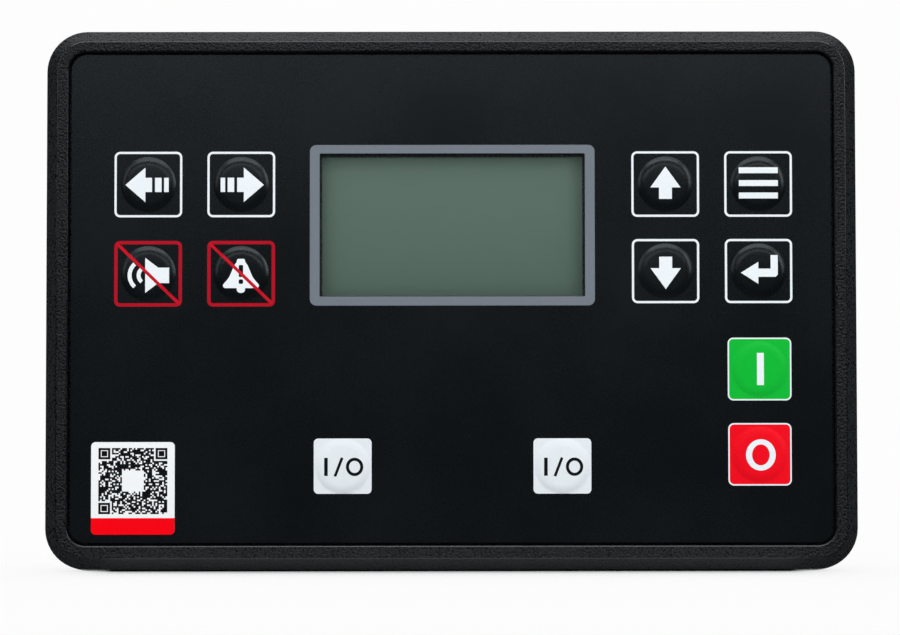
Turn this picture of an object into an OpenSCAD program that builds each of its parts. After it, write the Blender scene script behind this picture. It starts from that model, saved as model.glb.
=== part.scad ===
// Genset controller: a panel-mounted control unit with a display and embossed membrane keys.
// X is to the right, Y goes back into the panel and Z is up. The panel's front face is the plane Y = 0,
// and the origin is the centre of the panel cut-out.

/* [Panel cut-out] */
// Width of the cut-out that the rear housing passes through
cutout_w = 175; // [165:0.5:200]
// Height of the cut-out
cutout_h = 113; // [108:0.5:140]
// Clearance between the housing and the cut-out on each side
cutout_clear = 0.8; // [0.4:0.1:1.5]

/* [Bezel] */
// How far the bezel overlaps the cut-out at each side
flange_side = 5.4; // [4.9:0.1:12]
// How far the bezel overlaps the cut-out at the top and at the bottom
flange_ends = 5.4; // [4.9:0.1:12]
// Thickness of the bezel from the rear of its flange to its front edge
bezel_t = 8.7; // [7.5:0.1:12]
// Radius of the bezel's corners
bezel_r = 9.7; // [8.4:0.1:14]
// How far the bezel's sides lean inwards between the flange and the chamfer
side_draft = 0.4; // [0.1:0.1:0.6]
// Width and depth of the chamfer round the front
chamfer = 2.6; // [1.5:0.1:3.5]
// Width of the flat band between the chamfer and the recess
rim_band = 2.6; // [1.6:0.02:3]
// Radius on the ridges of the rim
ridge_r = 0.35; // [0.1:0.05:0.6]
// How far the recess for the overlay is above the bezel's centre
recess_rise = 0.3; // [0:0.05:0.5]
// Depth of the overlay's face below the rim
film_sink = 0.9; // [0.75:0.05:1.5]
// Thickness of the bezel's web behind the overlay
web_t = 2.2; // [1.9:0.1:3]
// Depth of the groove in the web, round the overlay's edge
moat_d = 1.6; // [0.4:0.1:1.6]

/* [Gasket] */
// Width of the gasket strip
gasket_w = 3; // [2:0.1:3.2]
// Distance of the gasket from the bezel's outline
gasket_inset = 1.3; // [1:0.1:1.6]
// Thickness of the gasket
gasket_t = 2.3; // [1.5:0.1:3]
// How far the gasket stands out of its groove
gasket_proud = 0.8; // [0.3:0.1:1.2]
// Clearance between the gasket and the walls of its groove
gasket_clear = 0.1; // [0.05:0.05:0.3]

/* [Overlay] */
// Thickness of the overlay film
film_t = 0.25; // [0.15:0.05:0.4]
// Gap between the film and the wall of its recess
film_gap = 0.65; // [0.2:0.05:1]
// Diameter of an embossed dome
dome_d = 12.6; // [10:0.1:13]
// Height of an embossed dome
dome_h = 0.7; // [0.3:0.05:0.7]
// Width of the dome's sloping shoulder
dome_shoulder = 1.4; // [1:0.1:3]

/* [Display] */
// Sideways place of the display's centre
display_x = 0.25; // [-2:0.05:2]
// Height of the window's centre above the cut-out's centre
window_z = 16.95; // [12:0.05:20]
// Width of the overlay's window
window_w = 60.5; // [50:0.5:64]
// Height of the overlay's window
window_h = 32.7; // [28:0.1:36]
// How far the window's clear pane reaches past the overlay's window on each side
pane_lap = 1; // [0.6:0.1:1.4]
// Thickness of the clear pane
pane_t = 1.4; // [1:0.1:1.5]
// Clearance round the clear pane
pane_clear = 0.15; // [0.05:0.05:0.3]
// How far the bezel's aperture is inside the window on each side
view_lip = 0.5; // [0.3:0.01:1.5]
// How far the aperture's centre is below the window's centre
view_drop = 0.2; // [0:0.05:0.5]
// Width of the metal frame round the display's glass
lcd_border = 6; // [4:0.1:7]
// Thickness of the metal frame's sheet
lcd_skin = 0.4; // [0.3:0.05:0.6]
// Thickness of the display's glass
glass_t = 2.2; // [1.5:0.1:3]
// Thickness of the backlight
backlight_t = 3.2; // [2.5:0.1:4]
// How far the display's own board reaches past its metal frame
lcd_margin = 3; // [2:0.1:4]
// Gap between the display's board and the front board
lcd_gap = 2.25; // [1.5:0.05:4]

/* [Guide label] */
// Width of the label
label_w = 19; // [12:0.5:22]
// Height of the label
label_h = 21; // [12:0.5:22]
// Distance of the label from the overlay's left edge
label_side = 4.76; // [3:0.02:14]
// Distance of the label from the overlay's bottom edge
label_foot = 1.86; // [1.5:0.02:6]
// Thickness of the label
label_t = 0.12; // [0.06:0.02:0.2]
// Radius of the label's corners
label_r = 1; // [0.5:0.1:3]

/* [Key layout] */
// Sideways pitch of the keys beside the display
key_pitch = 21.2; // [18:0.1:22]
// Centre of the keys left of the display
left_keys_x = -58.5; // [-60:0.1:-57]
// Centre of the keys right of the display
right_keys_x = 59.45; // [58:0.05:61]
// Height of the upper row of keys
top_row_z = 26.25; // [24:0.05:30]
// Distance between the two rows left of the display
left_row_pitch = 20.4; // [18:0.1:23]
// Distance between the two rows right of the display
right_row_pitch = 19.9; // [18:0.1:21]
// Sideways place of the start and stop keys
run_x = 70.15; // [67:0.05:72]
// Height of the start key
start_z = -16; // [-17:0.1:-11]
// Height of the stop key
stop_z = -35.4; // [-37:0.1:-33]
// Distance between the two breaker keys
breaker_pitch = 49.95; // [40:0.05:60]
// Height of the breaker keys
breaker_z = -38; // [-40:0.1:-30]

/* [Keys] */
// Travel of a key
key_travel = 0.35; // [0.2:0.05:0.6]
// Clearance round a key in the web's hole
key_clear = 0.25; // [0.15:0.05:0.4]
// Gap between a key's crown and the film above it
key_gap = 0.1; // [0.05:0.05:0.2]
// How far a key's retaining lip reaches behind the web
key_lip = 0.8; // [0.5:0.1:1.2]
// Thickness of the retaining lip
key_lip_t = 0.9; // [0.6:0.1:1.2]
// Diameter of a key's stem
stem_d = 5; // [4:0.1:7]
// Width of a switch body
switch_w = 6; // [5.5:0.1:7]
// Height of a switch body above the front board
switch_h = 3.4; // [3:0.1:4]
// Diameter of a switch plunger
plunger_d = 3.4; // [2.5:0.1:4]
// How far a plunger stands out of its switch
plunger_out = 1.6; // [1:0.1:2]
// How deep a plunger sits in its switch
plunger_in = 1; // [0.6:0.1:1.2]
// Clearance round a plunger
plunger_clear = 0.15; // [0.05:0.05:0.3]

/* [Boards] */
// Thickness of a circuit board
board_t = 1.6; // [1:0.1:2]
// Clearance between a board and the housing's walls
board_clear = 1; // [0.6:0.1:2]
// Gap between the front board and the main board
stack_gap = 14.3; // [12:0.1:16]
// Sideways place of the board bosses
boss_x = 56; // [55:0.5:57]
// Height of the board bosses above and below the centre
boss_z = 35.5; // [35:0.1:36]
// Diameter of the board bosses
boss_d = 6.4; // [5.5:0.1:8]
// Width across the flats of a standoff
standoff_w = 5.5; // [5:0.1:7]
// Diameter of a screw's shank
screw_d = 2.5; // [2:0.1:3]
// Clearance round a screw's shank
screw_clear = 0.05; // [0.02:0.01:0.3]
// Diameter of a screw's head
screw_head_d = 5; // [4.2:0.1:5.6]
// Height of a screw's head
screw_head_h = 1.9; // [1.4:0.1:2.4]
// Depth of a screw's thread in its boss
screw_in = 6; // [4:0.1:7]

/* [Rear housing] */
// Thickness of the housing's walls
wall = 2; // [1.6:0.1:2.6]
// Radius of the housing's corners
housing_r = 4; // [3:0.1:5]
// Chamfer on the rear edges of the plateau and of the ledges
edge_cut = 1.2; // [0.5:0.1:1.6]
// Clearance between the housing and the bezel's skirt
seat_clear = 0.2; // [0.1:0.05:0.4]
// Depth of the terminal ledges behind the panel's front face
ledge_depth = 33; // [31:0.1:36]
// Depth of the rear plateau behind the panel's front face
rear_depth = 50.5; // [46:0.5:60]
// Width of the rear plateau
plateau_w = 150; // [140:1:154]
// Height of the rear plateau
plateau_h = 66; // [60:0.5:68]
// Distance of the screw wells from the housing's sides
well_inset = 6.2; // [6:0.1:6.4]
// Outer diameter of a screw well
well_d = 9; // [8.6:0.1:9.4]
// Thickness of a well's floor
well_floor = 2.5; // [2:0.1:4]
// Length of the bezel's corner bosses behind the panel's front face
corner_boss = 2; // [1:0.1:3]
// Width of a clamp slot
slot_w = 12; // [8:0.5:14]
// Height of a clamp slot along the depth
slot_d = 6; // [4.5:0.1:7]
// Depth of a clamp slot's near edge behind the panel's front face
slot_depth = 8; // [7:0.1:9]
// Sideways place of the clamp slots
slot_x = 52; // [40:1:60]
// Width of a module bay's cover
cover_w = 62; // [50:1:66]
// Height of a module bay's cover
cover_h = 48; // [40:1:54]
// Thickness of a module bay's cover
cover_t = 1.2; // [0.8:0.1:1.4]
// How far a cover overlaps its bay on each side
cover_lap = 2; // [1.5:0.1:3]
// Clearance round a cover
cover_clear = 0.2; // [0.1:0.05:0.4]
// Sideways place of the module bays
bay_x = 35; // [33:0.5:36]

/* [Terminals] */
// Pitch of the terminal poles
pole_pitch = 5.08; // [4.6:0.02:5.12]
// Height of the terminal rows above and below the centre
terminal_z = 44.5; // [43:0.1:46]
// Sideways place of the rows of twelve poles, on both sides of the centre
row_x = 33; // [32.5:0.1:33.5]
// Sideways place of the row of eight poles
short_row_x = 22.5; // [22:0.1:24]
// Height of a terminal header
header_h = 11.6; // [11:0.1:12.4]
// Wall of a terminal header
header_wall = 1.2; // [1:0.1:1.5]
// How far a header stands out of the housing's ledge
header_out = 0.5; // [0.2:0.1:1]
// How deep a plug sits in its header
plug_in = 8; // [7:0.1:9]
// How far a plug stands out behind its header
plug_out = 10.5; // [9:0.1:13]
// Clearance round a plug in its header and round a header in the housing
plug_clear = 0.2; // [0.1:0.05:0.3]
// Chamfer between a plug's screw side and its rear
plug_cut = 2.2; // [1:0.1:3]
// Width and depth of the grooves between a plug's poles
groove = 0.6; // [0.3:0.1:0.9]
// Width of a plug's wire entry
entry_w = 3.2; // [2.4:0.1:3.6]
// Height of a plug's wire entry
entry_h = 3.8; // [3:0.1:4.2]
// Depth of a plug's wire entry
entry_d = 7; // [5:0.1:8]
// Diameter of a terminal screw
terminal_screw_d = 3.2; // [2.6:0.1:3.6]
// Length of a terminal screw
terminal_screw_l = 2; // [1.2:0.1:2.2]
// Width of a header pin
pin_w = 1; // [0.8:0.05:1.2]
// Clearance round a pin
pin_clear = 0.25; // [0.1:0.05:0.3]

/* [Service socket] */
// Sideways place of the service socket
usb_x = 58; // [57:0.5:61]
// Width of the socket's metal shell
usb_w = 12; // [11:0.1:13]
// Height of the socket's metal shell
usb_h = 11; // [10.5:0.1:12]
// Thickness of the shell's sheet
usb_skin = 0.5; // [0.3:0.05:0.8]
// How far the socket stands out of the housing's ledge
usb_out = 1; // [0.3:0.1:2]
// Width of the socket's tongue
tongue_w = 5.6; // [4.5:0.1:6]
// Height of the socket's tongue
tongue_h = 3.2; // [2.5:0.1:4]

/* [Clock battery] */
// Diameter of the coin cell
cell_d = 20; // [16:0.5:24]
// Thickness of the coin cell
cell_t = 3.2; // [1.6:0.1:3.6]
// Wall of the cell's holder
cell_wall = 1.3; // [1:0.1:2]
// Clearance round the cell in its holder
cell_clear = 0.15; // [0.1:0.05:0.3]
// Height of the cell's centre
cell_z = -14; // [-16:0.5:-10]

/* [Hidden] */
// Fineness of round forms
$fn = 64;
// Small overlap that joins or clears two solids
eps = 0.5;
// Steps of a dome's profile and of a ridge's rounding
dome_steps = 12;
ridge_steps = 4;
// Share of a dome's height that is crown
dome_crown = 0.25;
// Slack of a key's lip behind the web, and the spare depth under a plunger
key_lash = 0.05;
plunger_spare = 0.2;

// Outline sizes
bezel_w = cutout_w + 2 * flange_side;
bezel_h = cutout_h + 2 * flange_ends;
housing_w = cutout_w - 2 * cutout_clear;
housing_h = cutout_h - 2 * cutout_clear;
recess_inset = side_draft + chamfer + rim_band;
// Width of the swept part of the bezel, which reaches past the recess's wall into the web
sweep_over = 1.4;
sweep_w = recess_inset + sweep_over;
recess_w = bezel_w - 2 * recess_inset;
recess_h = bezel_h - 2 * recess_inset;
recess_r = bezel_r - recess_inset;
film_w = recess_w - 2 * film_gap;
film_h = recess_h - 2 * film_gap;
film_r = recess_r - film_gap;
label_x = label_side + label_w / 2 - film_w / 2;
label_z = recess_rise + label_foot + label_h / 2 - film_h / 2;

// Levels in front of the panel's face, which is 0
flange_level = gasket_proud;
front_level = flange_level + bezel_t;
film_level = front_level - film_sink;
web_level = film_level - film_t;
web_back = web_level - web_t;
glass_level = web_back - lcd_skin;
backlight_level = glass_level - glass_t;
lcd_board_level = backlight_level - backlight_t;
lcd_board_back = lcd_board_level - board_t;
board_level = lcd_board_back - lcd_gap;
board_back = board_level - board_t;
main_level = board_back - stack_gap;
main_back = main_level - board_t;
switch_level = board_level + switch_h;
stem_end = switch_level + plunger_out;
ledge_level = -ledge_depth;
rear_level = -rear_depth;
header_end = ledge_level - header_out;
plug_front = header_end + plug_in;
plug_back = header_end - plug_out;
boss_end = -corner_boss;

// Display sizes
view_w = window_w - 2 * view_lip;
view_h = window_h - 2 * view_lip;
view_z = window_z - view_drop;
lcd_w = view_w + 2 * lcd_border;
lcd_h = view_h + 2 * lcd_border;
lcd_board_w = lcd_w + 2 * lcd_margin;
lcd_board_h = lcd_h + 2 * lcd_margin;
pane_w = window_w + 2 * pane_lap;
pane_h = window_h + 2 * pane_lap;

// Key places, in the order of the names
KEYS = ["prev", "next", "horn", "fault", "up", "menu", "down", "enter", "start", "stop",
        "breaker_a", "breaker_b"];
KEY_PLACES = [
    [left_keys_x - key_pitch / 2, top_row_z],
    [left_keys_x + key_pitch / 2, top_row_z],
    [left_keys_x - key_pitch / 2, top_row_z - left_row_pitch],
    [left_keys_x + key_pitch / 2, top_row_z - left_row_pitch],
    [right_keys_x - key_pitch / 2, top_row_z],
    [right_keys_x + key_pitch / 2, top_row_z],
    [right_keys_x - key_pitch / 2, top_row_z - right_row_pitch],
    [right_keys_x + key_pitch / 2, top_row_z - right_row_pitch],
    [run_x, start_z],
    [run_x, stop_z],
    [display_x - breaker_pitch / 2, breaker_z],
    [display_x + breaker_pitch / 2, breaker_z]
];
dome_clear = 0.1;
key_hole_d = dome_d + 2 * dome_clear;
key_cap_d = key_hole_d - 2 * key_clear;
key_lip_d = key_hole_d + 2 * key_lip;

// Screw and boss places
BOSSES = [for (x = [-1, 1], z = [-1, 1]) [x * boss_x, z * boss_z]];
WELLS = [for (x = [-1, 1], z = [-1, 1])
    [x * (housing_w / 2 - well_inset), z * (housing_h / 2 - well_inset)]];
corner_boss_d = 2 * (well_inset - wall) - 2 * seat_clear;
pilot_d = screw_d + 2 * screw_clear;
head_room = 0.4;
board_w = housing_w - 2 * wall - 2 * board_clear;
board_h = housing_h - 2 * wall - 2 * board_clear;
board_notch = well_inset + well_d / 2 - wall;

// Terminal rows: the letter, the number of poles, the sideways place and the side of the centre
TERMINALS = [["a", 12, -row_x, 1], ["b", 12, row_x, 1], ["c", 12, -row_x, -1], ["d", 8, short_row_x, -1]];
header_floor = 2.4;
pin_in = 6;
entry_drop = 1.6;
terminal_screw_room = 0.3;
terminal_screw_sink = 0.6;

// Connector between the two boards, below the display: poles in a row, pitch, place and sizes
link_poles = 10;
link_pitch = 2.54;
link_z = -30;
link_header_h = 2.5;
link_body_w = link_poles * link_pitch;
link_body_h = 2 * link_pitch;
link_pin_w = 0.64;
link_pin_tail = 1;
link_pin_short = 2;

// Pin strip and spacers behind the display's board, and the back of the service socket
lcd_strip_w = 38;
lcd_strip_h = 2.5;
lcd_spacer_d = 5;
usb_back = 1.5;

// Turns a form drawn flat, with its face up, so that its face looks at -Y
module upright() {
    rotate([90, 0, 0]) children();
}

// A flat outline as a solid between two levels
module slab(low, high) {
    translate([0, 0, low]) linear_extrude(high - low) children();
}

// A rectangle with round corners
module rounded(w, h, r) {
    square([w - 2 * r, h], center = true);
    square([w, h - 2 * r], center = true);
    for (x = [-1, 1], y = [-1, 1]) {
        translate([x * (w / 2 - r), y * (h / 2 - r)]) circle(r);
    }
}

// A round post between two levels
module post(d, low, high) {
    translate([0, 0, low]) cylinder(d = d, h = high - low);
}

function unit(v) = v / norm(v);

// Points of an arc that rounds the corner b between the points a and c
function round_corner(a, b, c, r) =
    let (u = unit(a - b), v = unit(c - b), half = acos(u * v) / 2)
    let (o = b + unit(u + v) * r / sin(half), p = b + u * r / tan(half), q = b + v * r / tan(half))
    [for (i = [0:ridge_steps]) o + r * unit((p - o) * (1 - i / ridge_steps) + (q - o) * i / ridge_steps)];

function smooth(s) = s * s * (3 - 2 * s);

// Height of a dome over the sheet at a distance from its centre
function dome(r) =
    let (s = min(1, (dome_d / 2 - r) / dome_shoulder))
    dome_h * ((1 - dome_crown) * smooth(s) + dome_crown * (1 - pow(2 * r / dome_d, 2)));

// Dome profile out to a radius, lifted to a level
function dome_points(radius, level) =
    [for (i = [0:dome_steps]) let (r = radius * i / dome_steps) [r, level + dome(r)]];

// Section of the rim: inwards from the outline, and up towards the front
module rim_section() {
    a = [0, flange_level];
    b = [side_draft, front_level - chamfer];
    c = [side_draft + chamfer, front_level];
    d = [sweep_w, front_level];
    polygon(concat([a], round_corner(a, b, c, ridge_r), round_corner(b, c, d, ridge_r),
        [d, [sweep_w, flange_level]]));
}

// Section of the cut that rounds the rim's edge over the recess
module lip_section() {
    a = [-rim_band, front_level];
    b = [0, front_level];
    c = [0, web_level];
    polygon(concat([[-ridge_r, front_level + eps]], round_corner(a, b, c, ridge_r),
        [[eps, front_level - ridge_r], [eps, front_level + eps]]));
}

// A section swept round a rounded rectangle, drawn from the outline inwards: four straight runs and
// four quarter turns
module swept(w, h, r) {
    corners = [[1, 1], [-1, 1], [-1, -1], [1, -1]];
    for (i = [0:3]) {
        run = (i % 2 == 0 ? w : h) - 2 * r;
        edge = (i % 2 == 0 ? h : w) / 2;
        rotate([0, 0, 90 * i]) translate([-run / 2, edge, 0]) mirror([0, 1, 0])
            rotate([90, 0, 90]) linear_extrude(run) children();
        translate([corners[i].x * (w / 2 - r), corners[i].y * (h / 2 - r), 0])
            rotate([0, 0, 90 * i]) rotate_extrude(angle = 90)
                translate([r, 0]) mirror([1, 0]) children();
    }
}

// Section of the cut that chamfers a rear edge at a level
module edge_section(level) {
    polygon([[-eps, level - eps], [edge_cut + eps, level - eps], [-eps, level + edge_cut + eps]]);
}

// Ring of a given width, inset from the bezel's outline
module outline_ring(inset, width) {
    difference() {
        rounded(bezel_w - 2 * inset, bezel_h - 2 * inset, bezel_r - inset);
        rounded(bezel_w - 2 * (inset + width), bezel_h - 2 * (inset + width), bezel_r - inset - width);
    }
}

module front_bezel() {
    skirt_w = housing_w + 2 * seat_clear;
    skirt_h = housing_h + 2 * seat_clear;
    color("#1c1d1f") upright() difference() {
        union() {
            difference() {
                union() {
                    swept(bezel_w, bezel_h, bezel_r) rim_section();
                    translate([0, recess_rise]) slab(web_back, web_level) rounded(recess_w, recess_h, recess_r);
                }
                slab(flange_level - eps, web_back) rounded(skirt_w, skirt_h, housing_r + seat_clear);
            }
            for (p = BOSSES) {
                translate(p) post(boss_d, board_level, web_back + eps);
            }
            for (p = WELLS) {
                translate(p) post(corner_boss_d, boss_end, web_back + eps);
            }
        }
        slab(flange_level - eps, gasket_t)
            outline_ring(gasket_inset - gasket_clear, gasket_w + 2 * gasket_clear);
        translate([0, recess_rise]) {
            slab(web_level, front_level + eps) rounded(recess_w, recess_h, recess_r);
            swept(recess_w, recess_h, recess_r) lip_section();
            slab(web_level - moat_d, web_level + eps) difference() {
                rounded(recess_w, recess_h, recess_r);
                rounded(film_w, film_h, film_r);
            }
        }
        for (p = KEY_PLACES) {
            translate(p) post(key_hole_d, web_back - eps, web_level + eps);
        }
        translate([display_x, window_z]) slab(web_level - pane_t, web_level + eps)
            square([pane_w + 2 * pane_clear, pane_h + 2 * pane_clear], center = true);
        translate([display_x, view_z]) slab(web_back - eps, web_level)
            square([view_w, view_h], center = true);
        for (p = BOSSES) {
            translate(p) post(pilot_d, board_level - eps, board_level + screw_in);
        }
        for (p = WELLS) {
            translate(p) post(pilot_d, boss_end - eps, boss_end + screw_in);
        }
    }
}

module overlay_film() {
    color("#15181a") upright() difference() {
        union() {
            translate([0, recess_rise]) slab(web_level, film_level) rounded(film_w, film_h, film_r);
            for (p = KEY_PLACES) {
                translate(p) rotate_extrude() polygon(concat(dome_points(dome_d / 2, film_level),
                    [[dome_d / 2, web_level], [0, web_level]]));
            }
        }
        for (p = KEY_PLACES) {
            translate(p) rotate_extrude() polygon(concat(dome_points(dome_d / 2, web_level),
                [[dome_d / 2, web_level - eps], [0, web_level - eps]]));
        }
        translate([display_x, window_z]) slab(web_level - eps, film_level + eps)
            square([window_w, window_h], center = true);
    }
}

module guide_label() {
    color("white") upright() translate([label_x, label_z])
        slab(film_level, film_level + label_t) rounded(label_w, label_h, label_r);
}

module display_window() {
    color("#9fb0a8", 0.4) upright() translate([display_x, window_z])
        slab(web_level - pane_t, web_level) square([pane_w, pane_h], center = true);
}

module gasket() {
    color("#2a2a2a") upright() slab(0, gasket_t) outline_ring(gasket_inset, gasket_w);
}

// A key button: crown under the film, retaining lip behind the web and a stem down to its switch
module key_button(place) {
    cap_r = key_cap_d / 2;
    lip_r = key_lip_d / 2;
    lip_top = web_back - key_lash;
    color("#2b2d30") upright() translate(place) rotate_extrude()
        polygon(concat(dome_points(cap_r, web_level - key_gap), [
            [cap_r, lip_top],
            [lip_r, lip_top],
            [lip_r, lip_top - key_lip_t],
            [stem_d / 2, lip_top - key_lip_t],
            [stem_d / 2, stem_end],
            [0, stem_end]
        ]));
}

module switch_plunger(place) {
    color("#3a3a3a") upright() translate(place) post(plunger_d, switch_level - plunger_in, stem_end);
}

module switch_bodies() {
    bore_floor = switch_level - plunger_in - key_travel - plunger_spare;
    color("#202020") upright() for (p = KEY_PLACES) {
        translate(p) difference() {
            slab(board_level, switch_level) square(switch_w, center = true);
            post(plunger_d + 2 * plunger_clear, bore_floor, switch_level + eps);
        }
    }
}

module lcd_frame() {
    color("#16181a") upright() translate([display_x, view_z]) difference() {
        slab(lcd_board_level, web_back) square([lcd_w, lcd_h], center = true);
        slab(lcd_board_level - eps, glass_level)
            square([lcd_w - 2 * lcd_skin, lcd_h - 2 * lcd_skin], center = true);
        slab(glass_level - eps, web_back + eps) square([view_w + eps, view_h + eps], center = true);
    }
}

// A flat layer of the display, filling its metal frame
module lcd_layer(low, high) {
    fit = lcd_skin + pane_clear;
    translate([display_x, view_z]) slab(low, high) square([lcd_w - 2 * fit, lcd_h - 2 * fit], center = true);
}

module lcd_glass() {
    color("#596d63") upright() lcd_layer(backlight_level, glass_level);
}

module lcd_backlight() {
    color("#e8e8e0") upright() lcd_layer(lcd_board_level, backlight_level);
}

module lcd_board() {
    color("#1d5a3a") upright() translate([display_x, view_z]) slab(lcd_board_back, lcd_board_level)
        square([lcd_board_w, lcd_board_h], center = true);
}

// Pin strip between the display's board and the front board, along the display's lower edge
module lcd_header() {
    color("#151515") upright()
        translate([display_x, view_z - lcd_board_h / 2 + lcd_margin]) slab(board_level, lcd_board_back)
            square([lcd_strip_w, lcd_strip_h], center = true);
}

module lcd_spacers() {
    color("#d8d8d0") upright() for (x = [-1, 1], z = [-1, 1]) {
        translate([display_x + x * (lcd_w / 2), view_z + z * (lcd_h / 2)])
            post(lcd_spacer_d, board_level, lcd_board_back);
    }
}

// Outline of a circuit board: cut back at the corners for the screw wells, drilled at the bosses
module board_outline() {
    difference() {
        square([board_w, board_h], center = true);
        for (x = [-1, 1], z = [-1, 1]) {
            translate([x * board_w / 2, z * board_h / 2]) square(2 * board_notch, center = true);
        }
        for (p = BOSSES) {
            translate(p) circle(d = pilot_d);
        }
    }
}

module front_board() {
    color("#14532f") upright() slab(board_back, board_level) board_outline();
}

module main_board() {
    color("#14532f") upright() difference() {
        slab(main_back, main_level) board_outline();
        for (t = TERMINALS) {
            pole_holes(t, main_back - eps, main_level + eps);
        }
        link_pins(pin_w, main_back - eps, main_level + eps);
    }
}

// The connector's pins as square posts of a given width
module link_pins(width, low, high) {
    for (i = [0:link_poles - 1], z = [-0.5, 0.5]) {
        translate([(i - (link_poles - 1) / 2) * link_pitch, link_z + z * link_pitch])
            slab(low, high) square(width, center = true);
    }
}

module link_header() {
    color("#1a1a1a") upright() {
        translate([0, link_z]) slab(main_level, main_level + link_header_h)
            square([link_body_w, link_body_h], center = true);
        link_pins(link_pin_w, main_back - link_pin_tail, board_back - link_pin_short);
    }
}

module link_socket() {
    color("#1a1a1a") upright() difference() {
        translate([0, link_z]) slab(main_level + link_header_h, board_back)
            square([link_body_w, link_body_h], center = true);
        link_pins(pin_w, main_level, board_back - link_pin_tail);
    }
}

module board_standoffs() {
    color("#b8a060") upright() for (p = BOSSES) {
        translate(p) difference() {
            union() {
                translate([0, 0, main_level]) cylinder(d = standoff_w / cos(30), h = stack_gap, $fn = 6);
                post(screw_d, board_back - eps, board_level + screw_in - eps);
            }
            post(pilot_d, main_level - eps, main_level + screw_in);
        }
    }
}

// A pan-head screw with its head below the level and its shank above it
module screw(level, length) {
    slot = screw_head_d / 5;
    difference() {
        union() {
            post(screw_head_d, level - screw_head_h, level);
            post(screw_d, level - eps, level + length);
        }
        slab(level - screw_head_h - eps, level - screw_head_h / 2)
            square([screw_head_d + eps, slot], center = true);
        slab(level - screw_head_h - eps, level - screw_head_h / 2)
            square([slot, screw_head_d + eps], center = true);
    }
}

module board_screws() {
    color("#c8ccd0") upright() for (p = BOSSES) {
        translate(p) screw(main_back, board_t + screw_in - eps);
    }
}

module housing_screws() {
    color("#c8ccd0") upright() for (p = WELLS) {
        translate(p) screw(boss_end - well_floor, well_floor + screw_in - eps);
    }
}

module coin_cell() {
    color("#c4c7ca") upright() translate([display_x, cell_z])
        post(cell_d, main_level + cell_wall, main_level + cell_wall + cell_t);
}

module cell_holder() {
    pocket_d = cell_d + 2 * cell_clear;
    color("#1a1a1a") upright() translate([display_x, cell_z]) difference() {
        post(pocket_d + 2 * cell_wall, main_level, main_level + cell_wall + cell_t);
        post(pocket_d, main_level + cell_wall, main_level + cell_wall + cell_t + eps);
        slab(main_level + cell_wall, main_level + cell_wall + cell_t + eps)
            square([cell_d / 2, cell_d + 4 * cell_wall], center = true);
    }
}

// One terminal row's length for a number of poles
function row_w(poles) = poles * pole_pitch;

// Places of the poles of one terminal row
function poles_at(t) =
    [for (i = [0:t[1] - 1]) [t[2] + (i - (t[1] - 1) / 2) * pole_pitch, t[3] * terminal_z]];

// Square holes or pins at the poles of one terminal row
module pole_holes(t, low, high) {
    for (p = poles_at(t)) {
        translate(p) slab(low, high) square(pin_w + 2 * pin_clear, center = true);
    }
}

module rear_housing() {
    inner_w = housing_w - 2 * wall;
    inner_h = housing_h - 2 * wall;
    color("#1b1c1e") upright() difference() {
        union() {
            difference() {
                union() {
                    slab(ledge_level, web_back) rounded(housing_w, housing_h, housing_r);
                    slab(rear_level, ledge_level + wall) rounded(plateau_w, plateau_h, housing_r);
                }
                swept(housing_w, housing_h, housing_r) edge_section(ledge_level);
                swept(plateau_w, plateau_h, housing_r) edge_section(rear_level);
                slab(ledge_level + wall, web_back + eps) rounded(inner_w, inner_h, housing_r - wall / 2);
                slab(rear_level + wall, ledge_level + wall + eps)
                    rounded(plateau_w - 2 * wall, plateau_h - 2 * wall, housing_r - wall / 2);
            }
            for (p = WELLS) {
                translate(p) post(well_d, ledge_level + eps, boss_end);
            }
        }
        for (p = WELLS) {
            translate(p) post(screw_head_d + 2 * head_room, ledge_level - eps, boss_end - well_floor);
            translate(p) post(pilot_d, ledge_level, boss_end + eps);
        }
        for (t = TERMINALS) {
            hole_w = row_w(t[1]) + 2 * header_wall + 2 * plug_clear;
            hole_h = header_h + 2 * plug_clear;
            translate([t[2], t[3] * terminal_z]) slab(ledge_level - eps, ledge_level + wall + eps)
                square([hole_w, hole_h], center = true);
        }
        translate([usb_x, -terminal_z]) slab(ledge_level - eps, ledge_level + wall + eps)
            square([usb_w + 2 * plug_clear, usb_h + 2 * plug_clear], center = true);
        for (x = [-1, 1]) {
            translate([x * bay_x, 0]) {
                slab(rear_level - eps, rear_level + cover_t)
                    square([cover_w + 2 * cover_clear, cover_h + 2 * cover_clear], center = true);
                slab(rear_level - eps, rear_level + wall + eps)
                    square([cover_w - 2 * cover_lap, cover_h - 2 * cover_lap], center = true);
            }
            translate([x * slot_x, 0]) slab(-slot_depth - slot_d, -slot_depth)
                square([slot_w, housing_h + 2 * eps], center = true);
        }
    }
}

// Cover of a module bay: a plate in the bay's recess with a locating rim inside the bay
module module_cover(side) {
    rim_w = cover_w - 2 * cover_lap - 2 * cover_clear;
    rim_h = cover_h - 2 * cover_lap - 2 * cover_clear;
    rim_in = 2.4;
    notch_d = 9;
    color("#202124") upright() translate([side * bay_x, 0]) difference() {
        union() {
            slab(rear_level, rear_level + cover_t) square([cover_w, cover_h], center = true);
            slab(rear_level + cover_t / 2, rear_level + cover_t + rim_in) difference() {
                square([rim_w, rim_h], center = true);
                square([rim_w - 2 * wall, rim_h - 2 * wall], center = true);
            }
        }
        translate([0, cover_h / 2]) post(notch_d, rear_level - eps, rear_level + cover_t / 2);
    }
}

module terminal_header(t) {
    color("#2f6b3c") upright() difference() {
        translate([t[2], t[3] * terminal_z]) difference() {
            slab(header_end, main_back)
                square([row_w(t[1]) + 2 * header_wall, header_h], center = true);
            slab(header_end - eps, main_back - header_floor)
                square([row_w(t[1]), header_h - 2 * header_wall], center = true);
        }
        pole_holes(t, main_back - header_floor - eps, main_back + eps);
    }
}

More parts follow.
